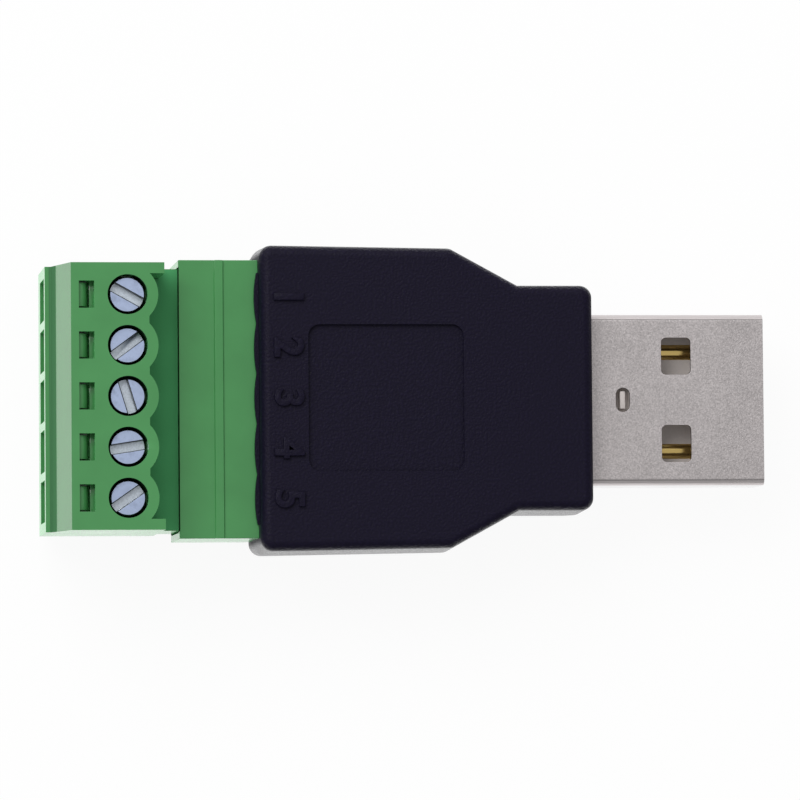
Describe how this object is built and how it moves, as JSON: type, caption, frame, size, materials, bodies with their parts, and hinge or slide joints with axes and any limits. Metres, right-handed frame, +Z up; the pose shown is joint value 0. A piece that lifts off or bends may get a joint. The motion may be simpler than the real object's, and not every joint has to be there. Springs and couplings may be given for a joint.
{
  "type": "usb terminal block adapter",
  "caption": "Inline adapter with a type A plug on one end of a moulded body and a pluggable row of screw terminals on the other.",
  "frame": {"origin": "under the middle of the object's length and width, on the surface that the moulded body rests on", "axes": "+X towards the type A plug, +Z up out of the terminal screws, +Y towards terminal 1"},
  "size_m": [0.0506, 0.0216, 0.0126],
  "materials": {
    "green_polyamide": "satin moulded",
    "black_vinyl": "spark-eroded matt",
    "white_insulator": "satin moulded",
    "board_laminate": "solder mask",
    "nickel_plate": "matt nickel plate",
    "zinc_plate": "bright zinc plate",
    "tinned_pin": "tin plate",
    "cage_brass": "bright stamped",
    "gold_plate": "gold flash"
  },
  "bodies": {
    "adapter": {"header_housing": "green_polyamide", "header_pin_1": "tinned_pin", "header_pin_2": "tinned_pin", "header_pin_3": "tinned_pin", "header_pin_4": "tinned_pin", "header_pin_5": "tinned_pin", "circuit_board": "board_laminate", "moulded_body": "black_vinyl", "usb_shell": "nickel_plate", "usb_insulator": "white_insulator", "usb_contact_power": "gold_plate", "usb_contact_data_minus": "gold_plate", "usb_contact_data_plus": "gold_plate", "usb_contact_ground": "gold_plate"},
    "terminal_plug": {"plug_housing": "green_polyamide", "socket_contact_1": "cage_brass", "socket_contact_2": "cage_brass", "socket_contact_3": "cage_brass", "socket_contact_4": "cage_brass", "socket_contact_5": "cage_brass"},
    "clamp_screw_1": {"clamp_screw_1": "zinc_plate"},
    "clamp_cage_1": {"clamp_cage_1": "cage_brass"},
    "clamp_screw_2": {"clamp_screw_2": "zinc_plate"},
    "clamp_cage_2": {"clamp_cage_2": "cage_brass"},
    "clamp_screw_3": {"clamp_screw_3": "zinc_plate"},
    "clamp_cage_3": {"clamp_cage_3": "cage_brass"},
    "clamp_screw_4": {"clamp_screw_4": "zinc_plate"},
    "clamp_cage_4": {"clamp_cage_4": "cage_brass"},
    "clamp_screw_5": {"clamp_screw_5": "zinc_plate"},
    "clamp_cage_5": {"clamp_cage_5": "cage_brass"}
  },
  "joints": [
    {"name": "plug_slide", "type": "slide", "parent": "adapter", "child": "terminal_plug", "axis": [-1, 0, 0], "range_m": [0, 0.009]},
    {"name": "screw_1_turn", "type": "hinge", "parent": "terminal_plug", "child": "clamp_screw_1", "pos_m": [-0.01985, 0.007, 0.012], "axis": [0, 0, -1], "range_deg": [0, 1800]},
    {"name": "cage_1_lift", "type": "slide", "parent": "terminal_plug", "child": "clamp_cage_1", "axis": [0, 0, 1], "range_m": [0, 0.002]},
    {"name": "screw_2_turn", "type": "hinge", "parent": "terminal_plug", "child": "clamp_screw_2", "pos_m": [-0.01985, 0.0035, 0.012], "axis": [0, 0, -1], "range_deg": [0, 1800]},
    {"name": "cage_2_lift", "type": "slide", "parent": "terminal_plug", "child": "clamp_cage_2", "axis": [0, 0, 1], "range_m": [0, 0.002]},
    {"name": "screw_3_turn", "type": "hinge", "parent": "terminal_plug", "child": "clamp_screw_3", "pos_m": [-0.01985, 0, 0.012], "axis": [0, 0, -1], "range_deg": [0, 1800]},
    {"name": "cage_3_lift", "type": "slide", "parent": "terminal_plug", "child": "clamp_cage_3", "axis": [0, 0, 1], "range_m": [0, 0.002]},
    {"name": "screw_4_turn", "type": "hinge", "parent": "terminal_plug", "child": "clamp_screw_4", "pos_m": [-0.01985, -0.0035, 0.012], "axis": [0, 0, -1], "range_deg": [0, 1800]},
    {"name": "cage_4_lift", "type": "slide", "parent": "terminal_plug", "child": "clamp_cage_4", "axis": [0, 0, 1], "range_m": [0, 0.002]},
    {"name": "screw_5_turn", "type": "hinge", "parent": "terminal_plug", "child": "clamp_screw_5", "pos_m": [-0.01985, -0.007, 0.012], "axis": [0, 0, -1], "range_deg": [0, 1800]},
    {"name": "cage_5_lift", "type": "slide", "parent": "terminal_plug", "child": "clamp_cage_5", "axis": [0, 0, 1], "range_m": [0, 0.002]}
  ],
  "couplings": [
    {"joint": "screw_1_turn", "follows": "cage_1_lift", "rad_per_m": 15708},
    {"joint": "screw_2_turn", "follows": "cage_2_lift", "rad_per_m": 15708},
    {"joint": "screw_3_turn", "follows": "cage_3_lift", "rad_per_m": 15708},
    {"joint": "screw_4_turn", "follows": "cage_4_lift", "rad_per_m": 15708},
    {"joint": "screw_5_turn", "follows": "cage_5_lift", "rad_per_m": 15708}
  ]
}
